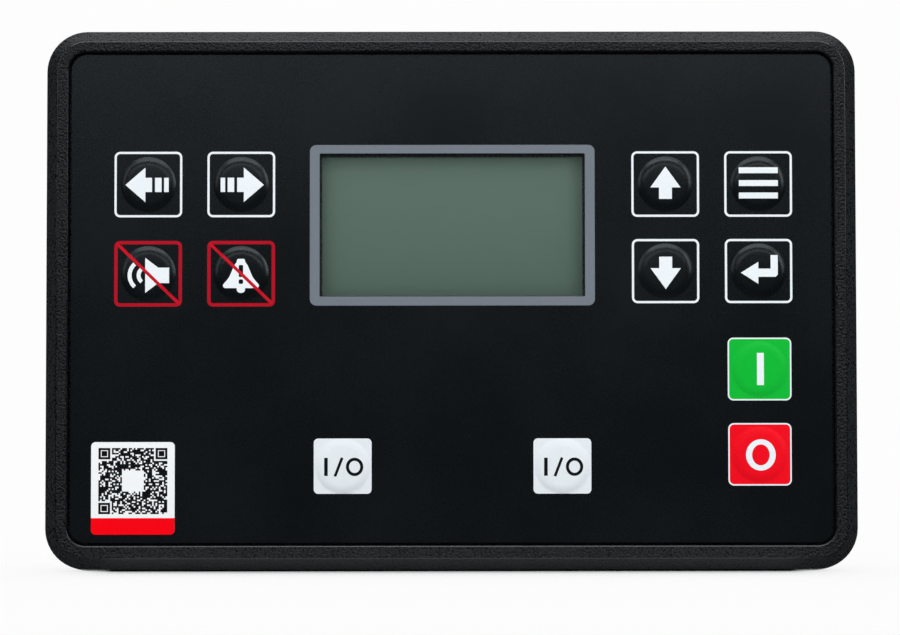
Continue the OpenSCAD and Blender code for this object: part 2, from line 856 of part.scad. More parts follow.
module header_pins() {
    color("#cfcaa8") upright() for (t = TERMINALS, p = poles_at(t)) {
        translate(p) slab(plug_front - pin_in, main_level + eps) square(pin_w, center = true);
    }
}

// Side view of a plug's body, chamfered between its screw side and its rear
module plug_section(side) {
    half = header_h / 2;
    polygon([
        [-side * half, header_end],
        [side * half, header_end],
        [side * half, plug_back + plug_cut],
        [side * (half - plug_cut), plug_back],
        [-side * half, plug_back]
    ]);
}

// A pluggable terminal block: a nose in the header, a body behind it, grooves, wire entries and screw holes
module terminal_plug(t) {
    row = row_w(t[1]);
    nose_h = header_h - 2 * header_wall - 2 * plug_clear;
    screw_hole = terminal_screw_l + terminal_screw_sink;
    color("#338045") upright() difference() {
        translate([t[2], t[3] * terminal_z]) {
            slab(header_end - eps, plug_front) square([row - 2 * plug_clear, nose_h], center = true);
            translate([-row / 2, 0, 0]) rotate([90, 0, 90]) linear_extrude(row) plug_section(t[3]);
        }
        pole_holes(t, plug_front - pin_in - pin_clear, plug_front + eps);
        for (p = poles_at(t)) {
            translate(p) translate([0, -t[3] * entry_drop]) slab(plug_back - eps, plug_back + entry_d)
                square([entry_w, entry_h], center = true);
            translate([p.x, t[3] * (terminal_z + header_h / 2 - screw_hole), plug_back + plug_out / 2])
                rotate([-90 * t[3], 0, 0])
                    cylinder(d = terminal_screw_d + terminal_screw_room, h = screw_hole + eps);
        }
        for (i = [1:t[1] - 1]) {
            translate([t[2] + (i - t[1] / 2) * pole_pitch, t[3] * terminal_z])
                slab(plug_back - eps, plug_back + groove) square([groove, header_h + 2 * eps], center = true);
        }
    }
}

// Clamping screws of all plugs, one in the bottom of each screw hole
module terminal_screws() {
    seat = header_h / 2 - terminal_screw_l - terminal_screw_sink;
    slot = terminal_screw_d / 5;
    color("#c8ccd0") upright() for (t = TERMINALS, p = poles_at(t)) {
        translate([p.x, t[3] * (terminal_z + seat), plug_back + plug_out / 2])
            rotate([-90 * t[3], 0, 0]) difference() {
                cylinder(d = terminal_screw_d, h = terminal_screw_l);
                translate([0, 0, terminal_screw_l])
                    cube([terminal_screw_d + eps, slot, slot * 2], center = true);
            }
    }
}

module usb_shell() {
    color("#b9bdc1") upright() translate([usb_x, -terminal_z]) difference() {
        slab(ledge_level - usb_out, main_back) square([usb_w, usb_h], center = true);
        slab(ledge_level - usb_out - eps, main_back - usb_back)
            square([usb_w - 2 * usb_skin, usb_h - 2 * usb_skin], center = true);
    }
}

module usb_tongue() {
    color("#101010") upright() translate([usb_x, -terminal_z])
        slab(ledge_level, main_back - usb_back) square([tongue_w, tongue_h], center = true);
}

front_bezel();
overlay_film();
guide_label();
display_window();
gasket();
for (i = [0:len(KEYS) - 1]) {
    key_button(KEY_PLACES[i]);
    switch_plunger(KEY_PLACES[i]);
}
switch_bodies();
lcd_frame();
lcd_glass();
lcd_backlight();
lcd_board();
lcd_header();
lcd_spacers();
front_board();
main_board();
link_header();
link_socket();
board_standoffs();
board_screws();
coin_cell();
cell_holder();
rear_housing();
housing_screws();
module_cover(-1);  // module_cover_a
module_cover(1);  // module_cover_b
for (t = TERMINALS) {
    terminal_header(t);
    terminal_plug(t);
}
header_pins();
terminal_screws();
usb_shell();
usb_tongue();
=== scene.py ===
"""Looks of a panel-mounted genset controller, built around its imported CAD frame.

Sizes are millimetres unless a name says otherwise. The panel's own plane is X across and Z up, and a
level is a distance in front of the panel's face, so a level is a negative Y in the frame.
"""
import logging
import math
import random
from dataclasses import dataclass, field, replace
from enum import Enum
from typing import Any, Callable, Optional

import bpy
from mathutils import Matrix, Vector
from mathutils.geometry import delaunay_2d_cdt

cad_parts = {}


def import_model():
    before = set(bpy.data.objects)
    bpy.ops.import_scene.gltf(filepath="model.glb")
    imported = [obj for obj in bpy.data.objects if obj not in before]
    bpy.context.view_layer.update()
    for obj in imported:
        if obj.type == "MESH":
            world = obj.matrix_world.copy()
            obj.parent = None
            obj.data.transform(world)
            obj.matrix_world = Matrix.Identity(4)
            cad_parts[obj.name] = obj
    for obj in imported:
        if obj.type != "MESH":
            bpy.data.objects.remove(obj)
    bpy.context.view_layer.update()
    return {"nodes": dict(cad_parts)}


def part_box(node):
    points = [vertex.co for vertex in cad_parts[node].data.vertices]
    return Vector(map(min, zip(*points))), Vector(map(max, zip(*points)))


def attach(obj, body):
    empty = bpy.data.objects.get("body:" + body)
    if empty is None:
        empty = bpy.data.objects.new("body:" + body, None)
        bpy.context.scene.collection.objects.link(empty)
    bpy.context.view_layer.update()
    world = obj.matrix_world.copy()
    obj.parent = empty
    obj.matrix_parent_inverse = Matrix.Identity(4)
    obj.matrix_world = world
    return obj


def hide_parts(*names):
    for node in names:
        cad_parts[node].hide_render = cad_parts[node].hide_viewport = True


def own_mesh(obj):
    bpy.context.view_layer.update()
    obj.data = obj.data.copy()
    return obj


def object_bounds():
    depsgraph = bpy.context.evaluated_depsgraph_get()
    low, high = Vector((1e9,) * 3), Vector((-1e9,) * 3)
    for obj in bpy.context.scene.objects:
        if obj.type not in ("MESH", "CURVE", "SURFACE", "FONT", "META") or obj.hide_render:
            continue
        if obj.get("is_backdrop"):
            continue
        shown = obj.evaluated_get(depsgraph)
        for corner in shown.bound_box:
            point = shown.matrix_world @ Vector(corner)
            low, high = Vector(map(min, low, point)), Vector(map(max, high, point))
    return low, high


LOG = logging.getLogger("controller")
MM = 0.001
ROOT = "controller"
# Distance within which two points of a sheet become one
MERGE = 1e-5

Point = tuple[float, float]
Loop = list[Point]
Height = Callable[[float, float], float]


def linear(code: str) -> tuple[float, float, float, float]:
    """Turn an sRGB hex colour into a linear one.

    Args:
        code: The colour as "#rrggbb".

    Returns:
        Linear red, green, blue and an alpha of 1.
    """
    parts = [int(code[i:i + 2], 16) / 255 for i in (1, 3, 5)]
    red, green, blue = (p / 12.92 if p <= 0.04045 else ((p + 0.055) / 1.055) ** 2.4 for p in parts)
    return red, green, blue, 1.0


def add_node(tree: bpy.types.NodeTree, kind: str, values: Optional[dict] = None,
             links: Optional[dict] = None, **settings: Any) -> bpy.types.Node:
    """Add a node with its settings, its socket values and the links into it.

    Args:
        tree: The node tree that gets the node.
        kind: The node's type name.
        values: Socket name or number to constant value.
        links: Socket name or number to the output socket that feeds it.
        settings: Properties of the node itself.

    Returns:
        The new node.
    """
    made = tree.nodes.new(kind)
    for key, value in settings.items():
        setattr(made, key, value)
    for key, value in (values or {}).items():
        made.inputs[key].default_value = value
    for key, output in (links or {}).items():
        tree.links.new(output, made.inputs[key])
    return made


class Grain(Enum):
    """Ways a surface was made, which set its pattern."""

    PLAIN = "plain"
    SPARKED = "spark eroded mould"
    SATIN = "satin coat"
    TURNED = "turned or rolled metal"
    FOAMED = "foam cells"


# How much finer a turned grain is across its lines than along them, and the detail of the broad mottle
TURNED_LINES = 12.0
BROAD_DETAIL = 3.0
# Ranges of the noise that become a sparked grain's height, and of both noises that become gloss and colour
SPARK_RANGE = (0.38, 0.64)
GLOSS_RANGE = (0.6, 1.4)
COLOUR_RANGE = (0.7, 1.3)
# Where an edge starts and ends, as the cosine of its turn away from the front: flat face, then chamfer
OFF_FLAT = (0.995, 0.965)
OFF_CHAMFER = (0.73, 0.8)
EDGE_SAMPLES = 8
AHEAD = (0.0, -1.0, 0.0)
BLACK = (0.0, 0.0, 0.0, 1.0)


@dataclass(frozen=True)
class Finish:
    """One material: what it is made of, how its surface was made and what that gives the eye."""

    name: str
    colour: str
    roughness: float
    ior: float = 1.5
    metallic: float = 0.0
    grain: Grain = Grain.PLAIN
    grain_mm: float = 0.5
    grain_depth_mm: float = 0.0
    mottle: float = 0.0
    mottle_mm: float = 20.0
    gloss_swing: float = 0.05
    specular: float = 0.5
    tint: str = "#ffffff"
    lift: float = 1.0
    edge_mm: float = 0.0
    edge_roughness: float = 0.14
    edge_ior: float = 1.58

    def material(self) -> bpy.types.Material:
        """Build the material once, and give the same one back after that.

        Returns:
            The material, named for the finish.
        """
        found = bpy.data.materials.get(self.name)
        if found:
            return found
        made = bpy.data.materials.new(self.name)
        made.use_nodes = True
        tree = made.node_tree
        tree.nodes.clear()
        shader = add_node(tree, "ShaderNodeBsdfPrincipled", {
            "Base Color": linear(self.colour), "Roughness": self.roughness, "IOR": self.ior,
            "Metallic": self.metallic, "Specular IOR Level": self.specular,
            "Specular Tint": linear(self.tint)})
        add_node(tree, "ShaderNodeOutputMaterial", links={"Surface": shader.outputs[0]})
        self.dress(tree, shader)
        return made

    def dress(self, tree: bpy.types.NodeTree, shader: bpy.types.Node) -> None:
        """Add the finish's pattern: mottled colour, uneven gloss and relief.

        Args:
            tree: The material's node tree.
            shader: Its surface shader.
        """
        place = add_node(tree, "ShaderNodeTexCoord").outputs["Object"]
        stretch = (1.0, 1.0, TURNED_LINES) if self.grain is Grain.TURNED else (1.0, 1.0, 1.0)
        laid = add_node(tree, "ShaderNodeMapping", {"Scale": stretch}, {"Vector": place}).outputs[0]
        fine_scale = 1 / (self.grain_mm * MM)
        kind = "ShaderNodeTexVoronoi" if self.grain is Grain.FOAMED else "ShaderNodeTexNoise"
        fine = add_node(tree, kind, {"Scale": fine_scale}, {"Vector": laid}).outputs[0]
        if self.grain is Grain.SPARKED:
            low, high = SPARK_RANGE
            fine = add_node(tree, "ShaderNodeMapRange", {"From Min": low, "From Max": high},
                            {"Value": fine}).outputs[0]
        broad = add_node(tree, "ShaderNodeTexNoise", {
            "Scale": 1 / (self.mottle_mm * MM), "Detail": BROAD_DETAIL}, {"Vector": place}).outputs[0]
        both = add_node(tree, "ShaderNodeMath", links={0: fine, 1: broad}, operation="ADD").outputs[0]
        low, high = GLOSS_RANGE
        gloss = add_node(tree, "ShaderNodeMapRange", {
            "From Min": low, "From Max": high, "To Min": self.roughness - self.gloss_swing,
            "To Max": self.roughness + self.gloss_swing}, {"Value": both})
        tree.links.new(gloss.outputs[0], shader.inputs["Roughness"])
        if self.edge_mm:
            self.polish(tree, shader, gloss.outputs[0], fine)
        elif self.grain_depth_mm:
            bump = add_node(tree, "ShaderNodeBump", {
                "Strength": 1.0, "Distance": self.grain_depth_mm * MM}, {"Height": fine})
            tree.links.new(bump.outputs[0], shader.inputs["Normal"])
        base = linear(self.colour)
        dark = tuple(c * (1 - self.mottle) for c in base[:3]) + (1.0,)
        light = tuple(min(1.0, c * (1 + self.mottle * self.lift)) for c in base[:3]) + (1.0,)
        low, high = COLOUR_RANGE
        ramp = add_node(tree, "ShaderNodeMapRange", {"From Min": low, "From Max": high}, {"Value": both})
        mixed = add_node(tree, "ShaderNodeMix", {6: dark, 7: light}, {0: ramp.outputs[0]}, data_type="RGBA")
        tree.links.new(mixed.outputs[2], shader.inputs["Base Color"])

    def polish(self, tree: bpy.types.NodeTree, shader: bpy.types.Node, gloss: bpy.types.NodeSocket,
               fine: bpy.types.NodeSocket) -> None:
        """Round the edges to the eye, and smooth the ones that face forward, as handling does.

        Args:
            tree: The material's node tree.
            shader: Its surface shader.
            gloss: The roughness away from edges.
            fine: The height of the grain.
        """
        soft = add_node(tree, "ShaderNodeBevel", {"Radius": self.edge_mm * MM},
                        samples=EDGE_SAMPLES).outputs[0]
        own = add_node(tree, "ShaderNodeVectorTransform", links={0: soft}, vector_type="NORMAL",
                       convert_from="WORLD", convert_to="OBJECT")
        facing = add_node(tree, "ShaderNodeVectorMath", {1: AHEAD}, {0: own.outputs[0]},
                          operation="DOT_PRODUCT").outputs["Value"]
        turned = [add_node(tree, "ShaderNodeMapRange", {"From Min": low, "From Max": high},
                           {"Value": facing}).outputs[0] for low, high in (OFF_FLAT, OFF_CHAMFER)]
        worn = add_node(tree, "ShaderNodeMath", links=dict(enumerate(turned)),
                        operation="MINIMUM").outputs[0]
        rough = add_node(tree, "ShaderNodeMix", {3: self.edge_roughness}, {0: worn, 2: gloss},
                         data_type="FLOAT")
        tree.links.new(rough.outputs[0], shader.inputs["Roughness"])
        shader.inputs["Coat Roughness"].default_value = self.edge_roughness
        shader.inputs["Coat IOR"].default_value = self.edge_ior
        tree.links.new(worn, shader.inputs["Coat Weight"])
        tree.links.new(soft, shader.inputs["Coat Normal"])
        left = add_node(tree, "ShaderNodeMath", {0: 1.0}, {1: worn}, operation="SUBTRACT")
        bump = add_node(tree, "ShaderNodeBump", {"Distance": self.grain_depth_mm * MM},
                        {"Strength": left.outputs[0], "Height": fine, "Normal": soft})
        tree.links.new(bump.outputs[0], shader.inputs["Normal"])


@dataclass(frozen=True)
class DisplayFinish(Finish):
    """Grey-green reflective display cell: a faint dot grid, painted light that makes it lighter above, and
    painted shade of its frame at its top and sides.
    """

    # Painted light: towards its top the cell's colour turns to this lighter one.
    painted_light_top_colour: str = "#5e7268"
    dot_mm: float = 0.46
    dot_contrast: float = 0.05
    line_from: float = 0.6
    low_mm: float = 1.0
    high_mm: float = 33.0
    # half_w_mm to edge_shade set the painted shade of the frame: the cell darkens towards its sides and its
    # top.
    half_w_mm: float = 30.2
    edge_fade_mm: float = 4.0
    edge_shade: float = 0.16

    def dress(self, tree: bpy.types.NodeTree, shader: bpy.types.Node) -> None:
        """Add the display's painted light, lighter up its height, its dot grid and the painted shade of its
        frame.

        Args:
            tree: The material's node tree.
            shader: Its surface shader.
        """
        place = add_node(tree, "ShaderNodeTexCoord").outputs["Object"]
        axes = add_node(tree, "ShaderNodeSeparateXYZ", links={0: place})
        # Painted light: the colour grows lighter from low_mm up to high_mm.
        rise = add_node(tree, "ShaderNodeMapRange", {
            "From Min": self.low_mm * MM, "From Max": self.high_mm * MM}, {"Value": axes.outputs[2]})
        tint = add_node(tree, "ShaderNodeMix", {6: linear(self.colour), 7: linear(self.painted_light_top_colour)},
                        {0: rise.outputs[0]}, data_type="RGBA").outputs[2]
        turns = 2 * math.pi / (self.dot_mm * MM)
        waves = []
        for axis in (0, 2):
            phase = add_node(tree, "ShaderNodeMath", {1: turns}, {0: axes.outputs[axis]},
                             operation="MULTIPLY")
            waves.append(add_node(tree, "ShaderNodeMath", links={0: phase.outputs[0]}, operation="COSINE"))
        grid = add_node(tree, "ShaderNodeMath", links={0: waves[0].outputs[0], 1: waves[1].outputs[0]},
                        operation="MAXIMUM")
        line = add_node(tree, "ShaderNodeMapRange", {
            "From Min": self.line_from, "To Max": self.dot_contrast}, {"Value": grid.outputs[0]})
        side = add_node(tree, "ShaderNodeMath", links={0: axes.outputs[0]}, operation="ABSOLUTE")
        # The dot grid darkens its lines; the other two paint the frame's shade at the sides and at the top.
        shades = [line.outputs[0], self.fade(tree, side.outputs[0], self.half_w_mm),
                  self.fade(tree, axes.outputs[2], self.high_mm)]
        for amount in shades:
            tint = add_node(tree, "ShaderNodeMix", {7: BLACK}, {0: amount, 6: tint},
                            data_type="RGBA").outputs[2]
        tree.links.new(tint, shader.inputs["Base Color"])

    def fade(self, tree: bpy.types.NodeTree, along: bpy.types.NodeSocket,
             end_mm: float) -> bpy.types.NodeSocket:
        """Give the painted shade that grows up to an edge.

        Args:
            tree: The material's node tree.
            along: Distance along the axis that crosses the edge.
            end_mm: Where the edge lies on that axis.

        Returns:
            The share of shade.
        """
        return add_node(tree, "ShaderNodeMapRange", {
            "From Min": (end_mm - self.edge_fade_mm) * MM, "From Max": end_mm * MM,
            "To Max": self.edge_shade}, {"Value": along}, interpolation_type="SMOOTHSTEP").outputs[0]


@dataclass(frozen=True)
class ClearFinish(Finish):
    """Clear polished acrylic: almost all of what is behind shows, with a thin gloss on top."""

    cover: float = 0.03

    def dress(self, tree: bpy.types.NodeTree, shader: bpy.types.Node) -> None:
        """Let what lies behind show through."""
        shader.inputs["Alpha"].default_value = self.cover


@dataclass(frozen=True)
class ScreenInk(Finish):
    """Screen ink under the overlay's satin coat: flat, dense colour with a little unevenness."""

    roughness: float = 0.42
    mottle: float = 0.04
    grain_mm: float = 0.6
    specular: float = 0.08


# Black ABS from a spark-eroded mould: a sanded, sparkling grain with smooth, shining edges. The real grit is
# finer than the picture can show, so it is drawn at half a millimetre.
SPARKED_ABS = Finish("sparked_black_abs", "#08090b", 0.34, 1.53, grain=Grain.SPARKED, grain_mm=0.5,
                     grain_depth_mm=0.11, mottle=0.8, mottle_mm=9.0, gloss_swing=0.1, specular=0.56,
                     tint="#f6faff", lift=2.2, edge_mm=0.3)
# Black ABS from a plainer mould: an even, duller black, with its grain drawn as coarse as it needs to show.
PLAIN_ABS = Finish("plain_black_abs", "#161719", 0.55, 1.53, grain=Grain.SPARKED, grain_mm=0.5,
                   grain_depth_mm=0.05, mottle=0.3, mottle_mm=14.0, specular=0.45)
# Polyester overlay, printed black from behind under a satin hard coat: deep black with a soft, cool haze.
OVERLAY_FILM = Finish("satin_black_polyester", "#080c0e", 0.27, 1.6, grain=Grain.SATIN, grain_mm=0.32,
                      grain_depth_mm=0.003, mottle=0.25, mottle_mm=30.0, tint="#ecf9ff")
# Screen inks of the overlay: white, red and green lines and fields, dense under the coat.
WHITE_INK = ScreenInk("white_screen_ink", "#eaeff2", mottle=0.02)
BREAKER_INK = ScreenInk("pale_grey_screen_ink", "#e3e8eb", mottle=0.02)
RED_LINE_INK = ScreenInk("red_line_screen_ink", "#b00a22", mottle=0.06)
RED_STRIKE_INK = ScreenInk("red_strike_screen_ink", "#c20e24", mottle=0.06)
RED_INK = ScreenInk("red_screen_ink", "#f00019", 0.34, specular=0.1)
GREEN_INK = ScreenInk("green_screen_ink", "#06b934", 0.34, specular=0.12)
GREY_INK = ScreenInk("grey_screen_ink", "#717880", 0.45, mottle=0.03)
DARK_INK = ScreenInk("dark_screen_ink", "#111416", 0.45, mottle=0.1)
# Label: white vinyl with digital print, bright and even with little gloss.
LABEL_VINYL = Finish("white_label_vinyl", "#f1f3f3", 0.35, mottle=0.015, grain_mm=0.8, specular=0.08)
LABEL_RED = Finish("red_label_print", "#f80011", 0.35, mottle=0.03, grain_mm=0.8, specular=0.04)
LABEL_BLACK = Finish("black_label_print", "#0e1012", 0.4, mottle=0.1, grain_mm=0.8, specular=0.08)
# Reflective display cell, a dull grey-green, behind a pane of clear polished acrylic that hardly shows.
DISPLAY_CELL = DisplayFinish("grey_green_display_cell", "#50655a", 0.3, 1.52, specular=0.1)
CLEAR_ACRYLIC = ClearFinish("clear_acrylic", "#7f8f88", 0.06, 1.49)
# Closed-cell foam rubber: soft black with open cells at its cut face.
FOAM_RUBBER = Finish("black_foam_rubber", "#202122", 0.85, grain=Grain.FOAMED, grain_mm=0.5,
                     grain_depth_mm=0.12, mottle=0.3, specular=0.2)
# Moulded polyamide of terminal blocks, keys and connectors: flat colour with a slight grain.
GREEN_NYLON = Finish("green_polyamide", "#2f8a4b", 0.5, 1.53, grain=Grain.SPARKED, grain_mm=0.4,
                     grain_depth_mm=0.02, mottle=0.1)
DARK_GREEN_NYLON = replace(GREEN_NYLON, name="dark_green_polyamide", colour="#26713c")
BLACK_NYLON = replace(GREEN_NYLON, name="black_polyamide", colour="#1a1b1c", mottle=0.2)
NATURAL_NYLON = Finish("natural_polyamide", "#d9d6cb", 0.45, 1.53, mottle=0.04)
# Milky acrylic of the display's light guide: a soft, warm white.
WHITE_ACRYLIC = Finish("white_light_guide", "#e9e8e0", 0.4, 1.49, mottle=0.03)
# Zinc on steel: bright grey, with fine rolling or turning lines.
PLATED_STEEL = Finish("plated_steel", "#c3c7ca", 0.32, metallic=1.0, grain=Grain.TURNED, grain_mm=0.2,
                      grain_depth_mm=0.01, mottle=0.12, gloss_swing=0.08)
# Tin on brass: bright, with the brass's yellow just showing.
TINNED_BRASS = Finish("tinned_brass", "#d2c59a", 0.3, metallic=1.0, grain=Grain.TURNED, grain_mm=0.2,
                      grain_depth_mm=0.01, mottle=0.1)
# Steel sheet under black paint: a dark satin.
BLACKED_STEEL = Finish("black_coated_steel", "#17181a", 0.45, grain=Grain.SATIN, grain_mm=0.3,
                       grain_depth_mm=0.01, mottle=0.15)
# Glass-fibre board under green solder mask: glossy, with the weave just showing.
SOLDER_MASK = Finish("green_solder_mask", "#12542f", 0.3, 1.52, grain=Grain.SATIN, grain_mm=0.6,
                     grain_depth_mm=0.015, mottle=0.25)


def rectangle(x0: float, z0: float, x1: float, z1: float) -> Loop:
    """Give a rectangle's corners, anticlockwise."""
    return [(x0, z0), (x1, z0), (x1, z1), (x0, z1)]


def arc(cx: float, cz: float, rx: float, rz: float, start: float, end: float, steps: int) -> Loop:
    """Give points along an elliptical arc.

    Args:
        cx: Centre, across.
        cz: Centre, up.
        rx: Radius across.
        rz: Radius up.
        start: First angle in degrees.
        end: Last angle in degrees.
        steps: Number of stretches.

    Returns:
        The points, both ends included.
    """
    turn = [math.radians(start + (end - start) * i / steps) for i in range(steps + 1)]
    return [(cx + rx * math.cos(a), cz + rz * math.sin(a)) for a in turn]


def ellipse(cx: float, cz: float, rx: float, rz: float, steps: int = 64) -> Loop:
    """Give a closed ellipse or circle."""
    return arc(cx, cz, rx, rz, 0, 360, steps)[:-1]


def rounded(cx: float, cz: float, w: float, h: float, r: float, steps: int = 8) -> Loop:
    """Give a rectangle with round corners.

    Args:
        cx: Centre, across.
        cz: Centre, up.
        w: Width.
        h: Height.
        r: Corner radius.
        steps: Stretches in each corner.

    Returns:
        The outline, anticlockwise.
    """
    out: Loop = []
    for turn, (sx, sz) in enumerate(((1, 1), (-1, 1), (-1, -1), (1, -1))):
        out += arc(cx + sx * (w / 2 - r), cz + sz * (h / 2 - r), r, r, 90 * turn, 90 * turn + 90, steps)
    return out


def band(a: Point, b: Point, width: float) -> Loop:
    """Give a straight band between two points.

    Args:
        a: Middle of its first end.
        b: Middle of its other end.
        width: Its width.

    Returns:
        The band's four corners.
    """
    along = Vector((b[0] - a[0], b[1] - a[1])).normalized() * width / 2
    side = Vector((-along.y, along.x))
    return [(a[0] - side.x, a[1] - side.y), (b[0] - side.x, b[1] - side.y),
            (b[0] + side.x, b[1] + side.y), (a[0] + side.x, a[1] + side.y)]


def curved_band(cx: float, cz: float, r: float, width: float, start: float, end: float,
                steps: int = 14) -> Loop:
    """Give a band of a width along an arc."""
    outer, inner = r + width / 2, r - width / 2
    return arc(cx, cz, outer, outer, start, end, steps) + arc(cx, cz, inner, inner, end, start, steps)


def moved(loops: list[Loop], dx: float, dz: float) -> list[Loop]:
    """Shift outlines across and up."""
    return [[(x + dx, z + dz) for x, z in loop] for loop in loops]


def flipped(loops: list[Loop], across: bool) -> list[Loop]:
    """Mirror outlines left to right, or top to bottom."""
    sx, sz = (-1, 1) if across else (1, -1)
    return [[(sx * x, sz * z) for x, z in loop][::-1] for loop in loops]


def inside(x: float, z: float, loops: list[Loop]) -> bool:
    """Say whether a point is inside outlines, where an outline in another is a hole.

    Args:
        x: The point's place across.
        z: The point's place up.
        loops: The outlines.

    Returns:
        True inside, and False outside or in a hole.
    """
    odd = False
    for loop in loops:
        for (x0, z0), (x1, z1) in zip(loop, loop[1:] + loop[:1]):
            if (z0 > z) != (z1 > z) and x < x0 + (x1 - x0) * (z - z0) / (z1 - z0):
                odd = not odd
    return odd


def divided(loop: Loop, cell: float) -> Loop:
    """Cut an outline's stretches so that none is longer than a cell.

    Args:
        loop: The outline.
        cell: The longest stretch allowed.

    Returns:
        The same outline with more points.
    """
    out: Loop = []
    for (x0, z0), (x1, z1) in zip(loop, loop[1:] + loop[:1]):
        parts = max(1, math.ceil(math.hypot(x1 - x0, z1 - z0) / cell))
        out += [(x0 + (x1 - x0) * i / parts, z0 + (z1 - z0) * i / parts) for i in range(parts)]
    return out


def flat(_x: float, _z: float) -> float:
    """Give the height of a flat sheet, which is none."""
    return 0.0


@dataclass
class Sheet:
    """A thin solid sheet cut to outlines, lying on the overlay or following a dome.

    Attributes:
        name: The piece's name.
        loops: Its outlines, with holes as outlines inside others.
        low: Level of its back.
        high: Level of its face.
        finish: Its material.
        height: Extra height at each place.
        cell: Longest edge on a curved sheet, or 0 on a flat one.
        fill: Points inside the outlines that the mesh also uses.
    """

    name: str
    loops: list[Loop]
    low: float
    high: float
    finish: Finish
    height: Height = flat
    cell: float = 0.0
    fill: list[Point] = field(default_factory=list)

    def triangles(self) -> tuple[Loop, list[list[int]]]:
        """Cut the outlines into triangles.

        Returns:
            The points and the triangles, anticlockwise seen from the front.
        """
        loops = [divided(loop, self.cell) for loop in self.loops] if self.cell else self.loops
        points, edges = [], []
        for loop in loops:
            first = len(points)
            points += [Vector(p) for p in loop]
            edges += [(first + i, first + (i + 1) % len(loop)) for i in range(len(loop))]
        points += [Vector(p) for p in self.fill or self.grid(loops)]
        verts, _edges, faces = delaunay_2d_cdt(points, edges, [], 0, MERGE)[:3]
        kept = []
        for face in faces:
            middle = sum((verts[i] for i in face), Vector((0.0, 0.0))) / 3
            if inside(middle.x, middle.y, loops):
                kept.append(list(face))
        return [(v.x, v.y) for v in verts], kept

    def grid(self, loops: list[Loop]) -> Loop:
        """Give a square grid of points inside the outlines of a curved sheet.

        Args:
            loops: The sheet's outlines.

        Returns:
            The points, or none on a flat sheet.
        """
        if not self.cell:
            return []
        xs = [x for loop in loops for x, _z in loop]
        zs = [z for loop in loops for _x, z in loop]
        columns = range(1, math.ceil((max(xs) - min(xs)) / self.cell))
        rows = range(1, math.ceil((max(zs) - min(zs)) / self.cell))
        places = [(min(xs) + i * self.cell, min(zs) + j * self.cell) for i in columns for j in rows]
        return [p for p in places if inside(p[0], p[1], loops)]

    def build(self) -> bpy.types.Object:
        """Make the closed mesh: smooth face and back, flat edges.

        Returns:
            The new object, in the scene and with its material.
        """
        points, faces = self.triangles()
        count = len(points)
        lifts = [self.height(x, z) for x, z in points]
        verts = [(x * MM, -(level + lift) * MM, z * MM)
                 for level in (self.high, self.low) for (x, z), lift in zip(points, lifts)]
        sides = dict.fromkeys(side for face in faces for side in zip(face, face[1:] + face[:1]))
        rim = [(a, b) for a, b in sides if (b, a) not in sides]
        polygons = faces + [[i + count for i in reversed(face)] for face in faces]
        polygons += [[b, a, a + count, b + count] for a, b in rim]
        mesh = bpy.data.meshes.new(self.name)
        mesh.from_pydata(verts, [], polygons)
        smooth = [True] * (2 * len(faces)) + [False] * len(rim)
        mesh.polygons.foreach_set("use_smooth", smooth)
        mesh.materials.append(self.finish.material())
        mesh.update()
        borders = {frozenset((a + k, b + k)) for a, b in rim for k in (0, count)}
        mesh.edges.foreach_set("use_edge_sharp", [frozenset(e.vertices) in borders for e in mesh.edges])
        made = bpy.data.objects.new(self.name, mesh)
        bpy.context.scene.collection.objects.link(made)
        return made


class Legend(Enum):
    """The signs printed on the keys."""

    BACK = "arrow to the left with two bars"
    FORWARD = "arrow to the right with two bars"
    HORN = "sounding horn"
    BELL = "bell with a warning mark"
    UP = "arrow up"
    DOWN = "arrow down"
    MENU = "three bars"
    ENTER = "return arrow"
    START = "upright bar"
    STOP = "ring"
    BREAKER = "bar, stroke and ring"


def bar_arrow() -> list[Loop]:
    """Give the arrow to the left with two bars behind it.

    Returns:
        Its outlines about the key's centre.
    """
    half, shaft, neck, end, drop = 3.95, 1.63, -0.62, 0.9, -0.14
    head = [(-5.2, 0.0), (neck, -half), (neck, -shaft), (end, -shaft), (end, shaft), (neck, shaft),
            (neck, half)]
    bars = [rectangle(1.57, -shaft, 3.07, shaft), rectangle(3.64, -shaft, 4.68, shaft)]
    return moved([head] + bars, 0.0, drop)


def plain_arrow() -> list[Loop]:
    """Give the upright arrow."""
    half, stem, tip, neck, foot = 3.46, 1.47, 3.95, -0.83, -3.45
    return [[(0.0, tip), (-half, neck), (-stem, neck), (-stem, foot), (stem, foot), (stem, neck),
             (half, neck)]]


def menu_bars() -> list[Loop]:
    """Give the three bars of the menu sign."""
    half, thick = 4.45, 1.35
    return [rectangle(-half, z - thick / 2, half, z + thick / 2) for z in (3.09, 0.15, -2.69)]


def return_arrow() -> list[Loop]:
    """Give the return arrow: a short stem turning into a bar and a head to the left.

    Returns:
        Its outlines about the key's centre.
    """
    left, right, top, low, high = 2.68, 4.32, 3.6, -1.36, 0.5
    neck, cut = -0.12, 0.5
    head = [(left, high), (neck, high), (neck, 2.04), (-4.1, -0.43), (neck, -2.98), (neck, low)]
    return [head + [(right - cut, low), (right, low + cut), (right, top), (left, top)]]


def horn() -> list[Loop]:
    """Give the horn: a box, a cone that opens to the left and two waves.

    Returns:
        Its outlines about the key's centre.
    """
    back, neck, mouth, small, wide, drop = 4.84, 2.36, -0.6, 1.76, 4.0, -0.4
    cone = [(back, -small), (back, small), (neck, small), (mouth, wide), (mouth, -wide), (neck, -small)]
    waves = [curved_band(-0.66, 0.0, 3.5, 0.92, 132, 228), curved_band(-0.24, 0.0, 1.86, 0.9, 128, 232)]
    return moved([cone] + waves, 0.0, drop)


